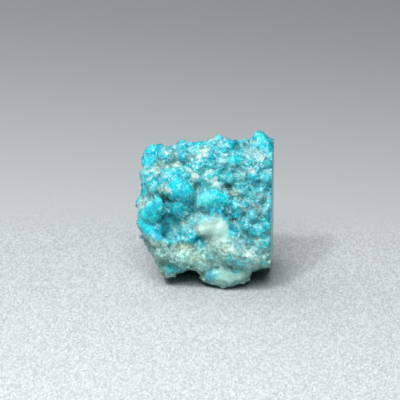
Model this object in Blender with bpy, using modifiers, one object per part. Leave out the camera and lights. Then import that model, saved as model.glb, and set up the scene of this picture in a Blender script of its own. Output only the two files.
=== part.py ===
"""A small piece of rough turquoise: a knobbly blue crust on pale quartz, sawn flat on its right side.

The stone is one solid. A block of quartz is chopped by fracture planes, the lumps of the crust and chips of
quartz are fused onto it, hollows are cut, and a saw plane and a floor plane finish it. Metres, +Z up, the
front towards -Y, the origin in the middle of the base.
"""

import math
import random

import bmesh
import bpy
from mathutils import Euler, Matrix, Vector
from mathutils.bvhtree import BVHTree

MM = 0.001
DEG = math.radians(1.0)

# The block that the stone is chopped from, the saw plane and the floor plane
BLOCK_LEFT = -9.3 * MM
BLOCK_FRONT = -9.6 * MM
BLOCK_BACK = 7.6 * MM
BLOCK_TOP = 21.4 * MM
BLOCK_BOTTOM = 1.1 * MM
SAW_X = 10.0 * MM
FLOOR_Z = 0.0
CUTTER_REACH = 40 * MM
SIGHT_START = 50 * MM

# The front is described as someone sees it who looks down on it a little, from just right of the saw plane.
LOOK_TURN = 3.5 * DEG
LOOK_DOWN = 22.0 * DEG
LOOK_FROM = Vector((0.0, -6.5 * MM, 0.0))

# The grain of the fused skin, its unevenness, and how many triangles it may have
VOXEL = 0.24 * MM
MOST_TRIANGLES = 9400
SMOOTH_STEPS = 1
ROUGH_SIZE = 2.6 * MM
ROUGH_HEIGHT = 0.5 * MM
FINE_SIZE = 0.9 * MM
FINE_HEIGHT = 0.22 * MM
SHARP_ANGLE = 50 * DEG

STONE_COLOUR = (0.10, 0.55, 0.62, 1.0)
STONE_ROUGHNESS = 0.5

# Each fracture plane: a point on it in millimetres, and the way it faces.
FRACTURES = {
    "front_lean": ((0.0, -7.9, 6.0), (0.0, -0.943, 0.332)),
    "front_undercut": ((0.0, -7.9, 5.0), (-0.05, -0.900, -0.430)),
    "front_left": ((-8.4, -5.2, 8.0), (-0.80, -0.58, 0.10)),
    "belly": ((-1.5, -5.3, 2.2), (-0.08, -0.30, -0.95)),
    "top": ((0.0, -2.0, 20.0), (-0.06, 0.28, 0.96)),
    "top_front": ((0.0, -3.6, 18.8), (0.0, -0.62, 0.78)),
    "top_left": ((-8.4, 0.0, 17.6), (-0.72, -0.10, 0.69)),
    "back_upper": ((0.0, 5.0, 15.8), (0.10, 0.90, 0.42)),
    "back_left": ((-7.0, 5.0, 9.0), (-0.66, 0.74, 0.10)),
    "back_lower": ((0.0, 7.0, 4.2), (-0.12, 0.86, -0.50)),
    "lower_left": ((-8.2, -2.5, 5.0), (-0.80, -0.20, -0.57)),
    "left_foot": ((-6.4, 0.0, 2.0), (-0.90, 0.10, -0.42)),
    "lower_right": ((8.9, -5.0, 3.4), (0.46, -0.50, -0.73)),
    "right_front": ((9.6, -6.7, 9.0), (0.55, -0.83, 0.05)),
    "right_foot": ((9.6, 2.0, 1.7), (0.50, 0.05, -0.86)),
    "back_step": ((3.0, 6.6, 8.0), (0.35, 0.93, 0.12)),
    "back_corner": ((-4.0, 6.4, 12.0), (-0.40, 0.80, 0.45)),
}

# Each round lump of the front: across and up as it is seen, radius, all in millimetres, and how much of
# that radius is sunk in the face behind it.
KNOBS = {
    "upper_left_knob": (-7.7, 19.5, 1.75, -0.2),
    "upper_left_top": (-6.8, 20.5, 1.15, -0.1),
    "upper_left_low": (-8.2, 18.8, 1.3, -0.1),
    "shoulder_high": (-8.7, 17.0, 1.2, 0.5),
    "shoulder_low": (-8.6, 15.9, 1.1, 0.5),
    "rim_green_lump": (-3.3, 20.9, 1.25, 0.2),
    "rim_small_lump": (-1.2, 20.9, 1.05, 0.2),
    "rim_back_lump": (-2.2, 20.4, 1.3, 0.6),
    "bead_left": (-3.2, 19.5, 0.75, 0.0),
    "crown_bump": (1.6, 21.3, 1.35, 0.3),
    "crown_bead": (2.2, 22.1, 0.8, 0.1),
    "crown_side": (0.6, 21.2, 0.9, 0.2),
    "crown_right": (3.0, 21.9, 0.75, 0.4),
    "blue_ball": (3.7, 21.1, 0.95, 0.0),
    "saddle": (5.6, 20.9, 1.2, 0.5),
    "saddle_right": (7.0, 21.2, 1.0, 0.5),
    "horn": (8.7, 21.4, 1.6, 0.2),
    "horn_tip": (8.4, 22.5, 1.15, 0.3),
    "horn_edge": (9.6, 20.7, 1.6, 0.3),
    "horn_low": (9.9, 19.0, 1.1, 0.3),
    "great_lump": (-3.9, 15.1, 2.4, 0.15),
    "great_lump_face": (-3.0, 14.2, 1.75, -0.45),
    "great_lump_roof": (-4.9, 16.6, 1.7, 0.1),
    "great_lump_side": (-2.5, 16.0, 1.4, 0.0),
    "great_lump_hang": (-3.3, 11.6, 1.7, 0.1),
    "ridge_left": (-7.3, 15.2, 1.45, 0.2),
    "ridge_low": (-8.4, 14.1, 1.25, 0.3),
    "left_bulge": (-9.0, 12.7, 1.4, 0.2),
    "crescent_top": (-6.9, 12.6, 1.1, -0.3),
    "crescent_arm": (-7.8, 11.8, 1.35, -0.2),
    "crescent_high": (-8.6, 10.8, 1.45, -0.1),
    "crescent_mid": (-8.7, 9.7, 1.5, -0.1),
    "crescent_low": (-8.2, 8.5, 1.45, -0.1),
    "crescent_end": (-7.1, 7.4, 1.3, -0.1),
    "crescent_lip": (-5.8, 6.8, 1.1, -0.1),
    "crescent_tail": (-4.5, 6.8, 0.9, 0.1),
    "middle_lump": (0.9, 12.8, 1.9, 0.3),
    "middle_lump_low": (2.1, 11.8, 1.4, -0.1),
    "middle_lump_left": (-0.5, 12.9, 1.3, 0.3),
    "middle_lump_right": (2.9, 12.9, 1.2, 0.3),
    "between_lumps": (-1.6, 9.8, 1.2, 0.4),
    "small_blue_patch": (-2.0, 7.3, 1.2, 0.3),
    "left_foot_lobe": (-5.3, 3.0, 1.7, 0.4),
    "bead_by_saw": (9.4, 16.5, 0.85, 0.1),
    "bead_grey": (3.7, 16.3, 0.8, -0.1),
    "bead_ring": (7.3, 10.7, 0.85, -0.2),
    "field_01": (4.6, 18.6, 1.3, 0.3),
    "field_02": (2.6, 18.4, 1.0, 0.2),
    "field_03": (6.5, 18.2, 1.0, 0.1),
    "field_04": (7.6, 16.8, 1.1, 0.1),
    "field_05": (5.8, 14.6, 1.0, 0.1),
    "field_06": (8.4, 14.0, 1.15, 0.1),
    "field_07": (4.7, 12.1, 0.9, 0.1),
    "field_08": (6.3, 12.4, 0.85, 0.1),
    "field_09": (9.1, 11.2, 1.0, 0.2),
    "field_10": (8.0, 8.5, 1.2, 0.2),
    "field_11": (6.2, 9.2, 1.0, 0.2),
    "field_12": (9.3, 9.2, 0.9, 0.1),
    "field_13": (0.0, 18.3, 0.95, 0.2),
    "field_14": (1.3, 19.6, 0.9, 0.2),
    "field_15": (0.6, 16.3, 0.95, 0.2),
    "field_16": (1.9, 15.0, 0.95, 0.1),
    "field_17": (9.0, 6.6, 1.2, 0.4),
    "field_18": (3.6, 14.0, 0.8, 0.1),
    "field_19": (-1.0, 17.5, 0.8, 0.3),
    "field_20": (5.4, 16.6, 0.85, 0.1),
    "field_21": (2.0, 16.8, 0.8, 0.2),
    "field_22": (7.7, 12.5, 0.8, 0.2),
    "field_23": (4.8, 10.6, 0.8, 0.2),
}

# Each angular piece of broken quartz on the front: across, up, half-width, half-height, half-depth, all in
# millimetres, how far it rolls in degrees, and how far it is sunk in millimetres.
QUARTZ = {
    "tongue": (0.4, 9.45, 1.75, 1.3, 1.5, -8.0, -0.8),
    "tongue_side": (2.2, 9.0, 1.7, 1.3, 1.5, -40.0, -0.5),
    "tongue_root": (3.6, 7.7, 1.7, 1.5, 1.6, -40.0, 0.0),
    "slab": (4.0, 5.5, 3.7, 2.5, 2.2, -38.0, 0.2),
    "slab_side": (6.6, 4.4, 2.3, 1.9, 2.2, -20.0, 0.5),
    "slab_left": (1.4, 6.4, 1.9, 1.6, 1.6, -50.0, 0.5),
    "slab_lip": (4.9, 2.5, 2.9, 1.6, 1.8, 14.0, 0.3),
    "lower_left_rock": (-3.4, 4.5, 2.7, 1.9, 1.7, -20.0, 0.6),
    "lower_left_corner": (-5.9, 5.4, 1.9, 1.5, 1.5, 30.0, 0.4),
    "lower_middle": (-0.6, 3.6, 2.0, 1.3, 1.5, -30.0, 0.5),
    "below_saw_edge": (9.4, 4.6, 1.4, 1.9, 1.8, 10.0, 0.8),
}

# Masses behind the rim of the front, and the feet, which reach below the floor plane and are cut off flat
# there: centre and half-sizes, in millimetres, in the stone's own directions.
MASSES = {
    "behind_horn": ((8.4, 1.3, 17.2), (3.2, 3.0, 4.2)),
    "behind_crown": ((2.0, 1.6, 17.6), (3.4, 2.8, 3.2)),
    "behind_upper_left": ((-6.3, 0.2, 16.4), (2.6, 3.0, 3.3)),
    "left_cheek": ((-7.0, 0.6, 10.6), (2.6, 3.2, 3.6)),
    "back_bulge": ((-1.6, 5.6, 9.4), (3.4, 2.6, 3.2)),
    "back_heel": ((3.4, 5.8, 4.4), (3.6, 2.4, 2.6)),
    "front_foot": ((3.0, -5.6, 2.0), (4.1, 2.6, 2.1)),
    "left_foot": ((-5.0, -1.6, 2.0), (2.2, 2.6, 2.15)),
    "back_left_foot": ((-2.6, 4.4, 2.0), (3.2, 2.6, 2.15)),
    "back_right_foot": ((6.0, 3.6, 2.0), (3.0, 3.2, 2.15)),
}

# Hollows of the front: across, up, half-width, half-height, half-depth, in millimetres.
HOLLOWS = {
    "deep_hollow": (-5.4, 9.2, 1.8, 2.0, 1.9),
    "under_tongue": (-0.6, 7.2, 0.95, 0.6, 1.1),
    "pit_middle": (3.5, 15.1, 0.55, 0.45, 0.9),
    "pit_low": (5.4, 13.5, 0.5, 0.35, 0.8),
    "pit_right": (4.4, 10.2, 0.5, 0.4, 0.8),
    "pit_by_ball": (6.0, 10.9, 0.45, 0.5, 0.8),
    "gap_by_great_lump": (-1.2, 15.2, 0.5, 1.1, 0.9),
    "gap_upper_left": (-4.6, 19.4, 0.7, 0.6, 0.5),
    "gap_above_great_lump": (-4.0, 18.4, 2.2, 0.5, 0.5),
    "gap_under_great_lump": (-6.0, 13.0, 0.9, 0.7, 0.9),
}

# Crust lumps scattered over the top and the left, and blocky quartz chips over the back and the underside
SEED = 7
SCATTER_LINES = 520
CRUST_RADIUS = (0.7 * MM, 1.3 * MM)
QUARTZ_HALF = (0.9 * MM, 2.3 * MM)
CHIP_TILT = 32 * DEG
CHIP_SUNK = 0.75
CRUST_SUNK = 0.45
LOWEST_CHIP = 2.4 * MM
FRONT_FACING = -0.5
SAWN_FACING = 0.8
CRUST_CORNER = Vector((-9.0 * MM, -1.5 * MM, 21.0 * MM))
CRUST_REACH = 14.5 * MM
QUARTZ_SHARE = 0.26
BALL_LEVEL = 3
CHIP_LEVEL = 1


def millimetres(values):
    """A point or size in metres from one in millimetres."""
    return Vector(values) * MM


def clear_scene():
    """Removes whatever the scene started with."""
    for obj in list(bpy.data.objects):
        bpy.data.objects.remove(obj)


def new_collection(name):
    """An empty collection in the scene."""
    found = bpy.data.collections.new(name)
    bpy.context.scene.collection.children.link(found)
    return found


def looking_frame():
    """The directions across, up and away, for someone who looks at the front."""
    across = Vector((math.cos(LOOK_TURN), math.sin(LOOK_TURN), 0.0))
    away = Vector((-math.sin(LOOK_TURN) * math.cos(LOOK_DOWN), math.cos(LOOK_TURN) * math.cos(LOOK_DOWN),
                   -math.sin(LOOK_DOWN)))
    return across, across.cross(away), away


def quartz_block(bm):
    """A block of quartz that fracture planes have chopped."""
    low = Vector((BLOCK_LEFT, BLOCK_FRONT, BLOCK_BOTTOM))
    high = Vector((SAW_X + 2 * MM, BLOCK_BACK, BLOCK_TOP))
    place = Matrix.Translation((low + high) / 2) @ Matrix.Diagonal((*(high - low), 1.0))
    bmesh.ops.create_cube(bm, size=1.0, matrix=place)
    for point, facing in FRACTURES.values():
        everything = bm.verts[:] + bm.edges[:] + bm.faces[:]
        cut = bmesh.ops.bisect_plane(bm, geom=everything, plane_co=millimetres(point),
                                     plane_no=Vector(facing), clear_outer=True)
        rim = [part for part in cut["geom_cut"] if isinstance(part, bmesh.types.BMEdge)]
        if rim:
            bmesh.ops.contextual_create(bm, geom=rim)


def add_ball(bm, centre, half, level=BALL_LEVEL, turn=Matrix.Identity(4)):
    """A ball, or at a low level an angular chip, of the given half-sizes."""
    place = Matrix.Translation(centre) @ turn @ Matrix.Diagonal((*half, 1.0))
    bmesh.ops.create_icosphere(bm, subdivisions=level, radius=1.0, matrix=place)


def add_chip(bm, centre, half, turn):
    """A blocky chip of broken quartz of the given half-sizes."""
    place = Matrix.Translation(centre) @ turn @ Matrix.Diagonal((*half, 1.0))
    bmesh.ops.create_cube(bm, size=2.0, matrix=place)


def seen_place(block, across_mm, up_mm):
    """Where the line of sight at this place of the front view meets the block, or passes nearest to it."""
    across, up, away = looking_frame()
    start = LOOK_FROM + across * across_mm * MM + up * up_mm * MM - away * SIGHT_START
    met = block.ray_cast(start, away)[0]
    if met is None:
        near = block.find_nearest(start + away * SIGHT_START)[0]
        met = start + away * (near - start).dot(away)
    return met


def facing_viewer(roll=0.0):
    """The turn that lays a shape's X across, its Y up and its Z towards the viewer, rolled by the degrees."""
    across, up, away = looking_frame()
    return Matrix((across, up, -away)).transposed().to_4x4() @ Matrix.Rotation(roll * DEG, 4, "Z")


def add_knobs(bm, block):
    """The round lumps of the front."""
    away = looking_frame()[2]
    for across_mm, up_mm, radius_mm, sunk in KNOBS.values():
        centre = seen_place(block, across_mm, up_mm) + away * radius_mm * sunk * MM
        add_ball(bm, centre, millimetres((radius_mm,) * 3))


def add_quartz(bm, block):
    """The angular pieces of broken quartz on the front."""
    away = looking_frame()[2]
    for across_mm, up_mm, wide, high, deep, roll, sunk_mm in QUARTZ.values():
        centre = seen_place(block, across_mm, up_mm) + away * sunk_mm * MM
        add_ball(bm, centre, millimetres((wide, high, deep)), CHIP_LEVEL, facing_viewer(roll))


def add_masses(bm):
    """The masses behind the rim, and the lobes that the stone stands on."""
    for centre, half in MASSES.values():
        add_ball(bm, millimetres(centre), millimetres(half))


def add_scattered(bm, block):
    """Crust lumps and quartz chips over the sides that the front view doesn't show."""
    draw = random.Random(SEED)
    middle = Vector((0.0, 0.0, BLOCK_TOP / 2))
    away = looking_frame()[2]
    for _ in range(SCATTER_LINES):
        way = Vector((draw.uniform(-1, 1), draw.uniform(-1, 1), draw.uniform(-1, 1))).normalized()
        crust_radius = draw.uniform(*CRUST_RADIUS)
        quartz_half = Vector([draw.uniform(*QUARTZ_HALF) for _ in range(3)])
        tilt = Euler([draw.uniform(-CHIP_TILT, CHIP_TILT) for _ in range(3)])
        share = draw.random()
        point, facing, _, _ = block.ray_cast(middle + way * SIGHT_START, -way)
        if point is None or facing.dot(away) < FRONT_FACING or facing.x > SAWN_FACING:
            continue
        if (point - CRUST_CORNER).length < CRUST_REACH:
            add_ball(bm, point - facing * crust_radius * CRUST_SUNK, (crust_radius,) * 3)
        elif share < QUARTZ_SHARE and point.z > LOWEST_CHIP:
            turn = facing.to_track_quat("Z", "Y").to_matrix().to_4x4() @ tilt.to_matrix().to_4x4()
            add_chip(bm, point - facing * quartz_half.z * CHIP_SUNK, quartz_half, turn)


def raw_stone():
    """The block and all its lumps, still as separate shells in one mesh."""
    bm = bmesh.new()
    quartz_block(bm)
    bmesh.ops.triangulate(bm, faces=bm.faces[:])
    bmesh.ops.recalc_face_normals(bm, faces=bm.faces[:])
    block = BVHTree.FromBMesh(bm)
    add_knobs(bm, block)
    add_quartz(bm, block)
    add_masses(bm)
    add_scattered(bm, block)
    mesh = bpy.data.meshes.new("turquoise")
    bm.to_mesh(mesh)
    bm.free()
    return mesh, block


def cutter(name, bm, collection):
    """A helper that a Boolean takes away, kept out of the model."""
    mesh = bpy.data.meshes.new(name)
    bm.to_mesh(mesh)
    bm.free()
    obj = bpy.data.objects.new(name, mesh)
    obj.hide_render = True
    obj.display_type = "WIRE"
    collection.objects.link(obj)
    return obj


def hollow_cutters(block, collection):
    """One cutter for each hollow of the front."""
    cutters = []
    for name, (across_mm, up_mm, *half_mm) in HOLLOWS.items():
        bm = bmesh.new()
        add_ball(bm, seen_place(block, across_mm, up_mm), millimetres(half_mm), turn=facing_viewer())
        cutters.append(cutter(name, bm, collection))
    return cutters


def plane_cutter(name, low, high, collection):
    """A box that trims the stone flat."""
    bm = bmesh.new()
    place = Matrix.Translation((low + high) / 2) @ Matrix.Diagonal((*(high - low), 1.0))
    bmesh.ops.create_cube(bm, size=1.0, matrix=place)
    return cutter(name, bm, collection)


def fuse(obj, name):
    """Joins overlapping shells into one skin."""
    remesh = obj.modifiers.new(name, "REMESH")
    remesh.mode = "VOXEL"
    remesh.voxel_size = VOXEL
    remesh.use_smooth_shade = True


def take_away(obj, tool):
    """Cuts one helper out of the stone."""
    cut = obj.modifiers.new(tool.name, "BOOLEAN")
    cut.operation = "DIFFERENCE"
    cut.object = tool


def roughen(obj, name, size, height):
    """An uneven surface of the given grain, the same on each run."""
    grain = bpy.data.textures.new(name, "CLOUDS")
    grain.noise_scale = size
    push = obj.modifiers.new(name, "DISPLACE")
    push.texture = grain
    push.texture_coords = "LOCAL"
    push.strength = height
    push.mid_level = 0.5


def thin_out(obj, most):
    """Fewer triangles, down to about the given number."""
    graph = bpy.context.evaluated_depsgraph_get()
    evaluated = obj.evaluated_get(graph)
    mesh = evaluated.to_mesh()
    mesh.calc_loop_triangles()
    count = len(mesh.loop_triangles)
    evaluated.to_mesh_clear()
    thin = obj.modifiers.new("thin_out", "DECIMATE")
    thin.ratio = min(1.0, most / count)


def stone_material():
    """Plain turquoise."""
    material = bpy.data.materials.new("turquoise")
    material.use_nodes = True
    shader = material.node_tree.nodes["Principled BSDF"]
    shader.inputs["Base Color"].default_value = STONE_COLOUR
    shader.inputs["Roughness"].default_value = STONE_ROUGHNESS
    shader.inputs["Metallic"].default_value = 0.0
    return material


def centre_on_base(obj):
    """Makes the modifiers final and puts the origin in the middle of the base."""
    graph = bpy.context.evaluated_depsgraph_get()
    mesh = bpy.data.meshes.new_from_object(obj.evaluated_get(graph))
    obj.modifiers.clear()
    obj.data = mesh
    xs = [vertex.co.x for vertex in mesh.vertices]
    ys = [vertex.co.y for vertex in mesh.vertices]
    middle = Vector(((min(xs) + max(xs)) / 2, (min(ys) + max(ys)) / 2, 0.0))
    mesh.transform(Matrix.Translation(-middle))
    mesh.shade_smooth()
    mesh.set_sharp_from_angle(angle=SHARP_ANGLE)


def make_turquoise():
    """Builds the stone."""
    clear_scene()
    parts = new_collection("rough_turquoise")
    tools = new_collection("cutters")
    mesh, block = raw_stone()
    stone = bpy.data.objects.new("turquoise", mesh)
    parts.objects.link(stone)
    fuse(stone, "fuse_lumps")
    for tool in hollow_cutters(block, tools):
        take_away(stone, tool)
    fuse(stone, "fuse_hollows")
    ease = stone.modifiers.new("ease", "SMOOTH")
    ease.iterations = SMOOTH_STEPS
    roughen(stone, "rough", ROUGH_SIZE, ROUGH_HEIGHT)
    roughen(stone, "fine", FINE_SIZE, FINE_HEIGHT)
    thin_out(stone, MOST_TRIANGLES)
    low = Vector((-CUTTER_REACH, -CUTTER_REACH, -CUTTER_REACH))
    high = Vector((CUTTER_REACH, CUTTER_REACH, CUTTER_REACH))
    take_away(stone, plane_cutter("saw", Vector((SAW_X, low.y, low.z)), high, tools))
    take_away(stone, plane_cutter("floor", low, Vector((high.x, high.y, FLOOR_Z)), tools))
    stone.data.materials.append(stone_material())
    centre_on_base(stone)


make_turquoise()
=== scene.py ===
"""Dresses a small piece of rough turquoise: the beads of its crust, the grains of its quartz, their stains
and their finish with painted glint specks and painted shade in each hollow, on a pale studio floor that is
painted darker towards the back. Metres, +Z up, the front towards -Y."""

import math
import random

import bmesh
import bpy
import numpy as np
from bpy.props import FloatProperty, FloatVectorProperty, IntProperty, PointerProperty
from mathutils import Euler, Matrix, Vector, noise
from mathutils.bvhtree import BVHTree
from mathutils.kdtree import KDTree


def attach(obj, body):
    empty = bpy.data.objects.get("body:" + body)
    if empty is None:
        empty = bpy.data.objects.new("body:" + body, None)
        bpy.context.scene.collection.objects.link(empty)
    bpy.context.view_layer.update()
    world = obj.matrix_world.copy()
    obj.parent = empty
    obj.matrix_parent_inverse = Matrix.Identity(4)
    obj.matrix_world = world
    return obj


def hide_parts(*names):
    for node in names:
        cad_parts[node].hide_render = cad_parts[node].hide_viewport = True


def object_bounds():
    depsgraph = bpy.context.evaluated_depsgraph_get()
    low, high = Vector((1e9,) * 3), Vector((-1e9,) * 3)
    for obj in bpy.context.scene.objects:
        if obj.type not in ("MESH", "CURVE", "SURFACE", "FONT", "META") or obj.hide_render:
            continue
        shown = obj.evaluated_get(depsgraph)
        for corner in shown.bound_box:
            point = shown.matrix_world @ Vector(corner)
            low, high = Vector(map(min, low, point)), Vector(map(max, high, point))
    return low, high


bl_info = {
    "name": "Rough Turquoise",
    "version": (1, 0, 0),
    "blender": (4, 5, 0),
    "location": "3D View > Sidebar > Turquoise",
    "description": "Builds a piece of rough turquoise and the floor that it rests on",
    "category": "Add Mesh",
}

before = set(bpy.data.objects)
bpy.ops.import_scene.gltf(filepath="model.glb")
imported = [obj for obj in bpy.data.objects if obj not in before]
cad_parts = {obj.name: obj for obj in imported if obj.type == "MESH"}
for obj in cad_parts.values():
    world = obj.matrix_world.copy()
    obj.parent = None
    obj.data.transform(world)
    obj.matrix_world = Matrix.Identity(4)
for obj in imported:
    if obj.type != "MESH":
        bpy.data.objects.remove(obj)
CAD_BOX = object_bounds()

MM = 0.001
DEG = math.radians(1.0)
PIECE = "rough_turquoise"

# The front is described as someone sees it who looks down on it a little, from just right of the saw plane.
# Across and up are measured in millimetres from the sight point.
LOOK_TURN = 3.5 * DEG
LOOK_DOWN = 22.0 * DEG
SIGHT_POINT = Vector((CAD_BOX[1].x - 10.0 * MM, CAD_BOX[0].y + 3.08 * MM, 0.0))
SIGHT_START = 60 * MM

# The camera: how far off it is, how wide a field it takes in, and where the middle of the picture lies
CAMERA_AWAY = 450 * MM
FRONT_NEARER = 4 * MM
FIELD = 60 * MM
PICTURE_MIDDLE = (-0.675, 13.125)
SENSOR = 36.0

# The flats that stay flat: the sawn face and the feet
SAW_X = CAD_BOX[1].x
SAW_SNAP = 0.11 * MM
SAW_INSET = 0.03 * MM
FLOOR_SNAP = 0.07 * MM
SAWN_LEAN = 0.9

# The side of the stone that the crust covers beyond the front
CRUST_CORNER = Vector((-9.0 * MM, -1.5 * MM, 21.0 * MM))
CRUST_REACH = 14.5 * MM
CRUST_FADE = 3.0 * MM
CRUST_RAGGED = 6.0 * MM
FRONT_DEPTH = (0.6, 3.6)
CRUST_WAVE = 4.0 * MM
CRUST_LOW = (4.5 * MM, 8.0 * MM)
LOW_RAGGED = 3.0 * MM

# How the patches of stain waver, and how soft, ragged and deep they are
RAGGED_WAVE = 1.1 * MM
PATCH_WAVE = 1.0 * MM
PATCH_DRIFT = 1.0
PATCH_EDGE = (0.1, 1.5)
PATCH_RAGGED = 0.5
PATCH_DEPTH = (1.0, 1.2)
SMOOTH_EDGE = (0.8, 1.3)
SMOOTH_DEPTH = 1.5
ALMOST_NONE = 1e-6

# The beads, the grains and the skin that is wrapped round them
MERGE = 0.001 * MM
SEED = 11
SPOT_TRIES = 15000
TOO_SMOOTH = (0.35, 0.8)
CELL_REACH = 2.5
BATCH_VERTICES = 1500
MOST_TRIANGLES = 192000
SMALLER = 0.45
SMOOTH_KEEPS = 0.65
LUMPS_SMOOTH = 0.85
BEAD_ROUNDNESS = 2
WRAP_VOXEL = 0.2 * MM
WRAP_SMOOTH = 3
KNOB_MIDDLE = 0.4
FACET_STEP = 0.3
FACET_SHUFFLE = 17.3
RIM_REACH = 4

# Hollows that the materials darken with painted shade: how many steps wide, and how deep
FINE_HOLLOW = (6, 0.05 * MM)
DEEP_HOLLOW = (60, 0.35 * MM)

# Each light: its width and where it stands, in metres
LIGHTS = {
    "main_light": (0.4, (-0.18, 0.16, 0.36)),
    "front_light": (0.32, (-0.02, -0.24, 0.42)),
    "sparkle_light": (0.05, (-0.16, -0.20, 0.40)),
}
LIT_POINT = Vector((0.0, 0.0, 0.01))


def srgb(red, green, blue):
    """A linear colour from one in the 0 to 255 steps of a colour picker."""
    steps = np.array((red, green, blue)) / 255.0
    return tuple(np.where(steps <= 0.04045, steps / 12.92, ((steps + 0.055) / 1.055) ** 2.4).tolist())


# Each stain: its colour, how much of it is crust rather than quartz, and how smooth it is.
STAINS = {
    "bright": (srgb(0, 208, 220), 1.0, 0.6),
    "blue": (srgb(0, 168, 196), 1.0, 0.5),
    "deep": (srgb(0, 116, 140), 1.0, 0.35),
    "teal": (srgb(0, 150, 150), 1.0, 0.3),
    "lagoon": (srgb(64, 210, 206), 1.0, 0.45),
    "sky": (srgb(52, 162, 176), 0.4, 0.5),
    "ice": (srgb(160, 232, 234), 0.9, 0.45),
    "haze": (srgb(150, 210, 210), 0.8, 0.2),
    "mist": (srgb(148, 197, 203), 0.5, 0.1),
    "white": (srgb(236, 242, 240), 0.3, 0.3),
    "cream": (srgb(216, 234, 216), 0.0, 0.35),
    "lime": (srgb(208, 228, 150), 0.0, 1.0),
    "celadon": (srgb(184, 219, 208), 0.0, 0.35),
    "mint": (srgb(166, 222, 212), 0.0, 0.35),
    "sage": (srgb(148, 194, 185), 0.0, 0.45),
    "khaki": (srgb(172, 190, 156), 0.0, 0.4),
    "moss": (srgb(92, 158, 144), 0.1, 0.4),
    # The next two stains, grey and near black, are partly the stone's own dark specks and partly painted
    # shade in its pits and hollows
    "umber": (srgb(140, 158, 154), 0.3, 0.0),
    "ink": (srgb(44, 54, 66), 0.4, 0.0),
    "wine": (srgb(88, 40, 56), 0.2, 0.2),
}
COLOURS = {stain: values[0] for stain, values in STAINS.items()}

# Where each stain lies on the ramps that the crust, the quartz, the beads and the sawn face are coloured from
CRUST_RAMP = {0.0: "deep", 0.2: "teal", 0.38: "blue", 0.55: "bright", 0.75: "lagoon", 1.0: "ice"}
QUARTZ_RAMP = {
    0.0: "moss", 0.25: "khaki", 0.4: "sage", 0.55: "mint", 0.7: "celadon", 0.85: "cream", 1.0: "white"}
BEAD_RAMP = {0.0: "teal", 0.3: "blue", 0.6: "bright", 1.0: "lagoon"}
SAWN_RAMP = {0.0: "sage", 0.4: "mist", 0.7: "celadon", 1.0: "cream"}

# What a colour is multiplied by in its dark spots and its dark grains, and as painted shade in each fold and
# hollow
SHADE_TINT = (0.3, 0.55, 0.6)
VARIED_TINT = (0.25, 0.6, 0.64)
FOLD_SHADE_TINT = (0.1, 0.62, 0.7)
HOLLOW_SHADE_TINT = (0.15, 0.42, 0.46)
DEEP_HOLLOW_SHADE_TINT = (0.15, 0.4, 0.45)

# The colour of the light from all round
ROOM_COLOUR = srgb(214, 219, 224)

# Soft clouds of the finish: their size in millimetres, and the noise at which their mask begins and is full
CLOUDS = {
    "broad": (2.6, 0.3, 0.7),
    "medium": (0.8, 0.28, 0.72),
    "small": (0.3, 0.25, 0.75),
    "sawn_broad": (3.2, 0.3, 0.7),
    "sawn_veins": (1.6, 0.52, 0.66),
    "saw_lines": (0.25, 0.2, 0.8),
    "floor_spots": (0.3, 0.3, 0.7),
}

# Crystal grains of the finish: their size and how far they waver, in millimetres
GRAINS = {
    "grain": (0.34, 0.25),
    "fine": (0.15, 0.05),
    "sawn": (0.5, 0.2),
    "floor": (0.2, 0.05),
}

# Effects of the stone's finish, among them painted glint specks and painted shade in each fold and hollow:
# the value at which each begins, at which it is full, and its share there
EFFECTS = {
    "crust": (0.1, 0.9, 1.0),
    "cover": (0.0, 1.0, 0.85),
    "gaps": (0.5, 0.8, 0.45),
    "tops": (0.5, 0.25, 0.65),
    "light": (0.5, 1.0, 0.25),
    "dark": (0.5, 0.0, 0.45),
    "painted_glint_clusters": (0.35, 0.8, 1.0),
    "painted_glints": (0.75, 0.85, 0.65),
    "painted_sparkle_flecks": (0.78, 0.88, 0.6),
    "fold_shade": (0.45, 0.85, 0.35),
    "hollow_shade": (0.8, 1.0, 0.5),
    "deep_hollow_shade": (0.65, 1.0, 0.25),
}

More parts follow.
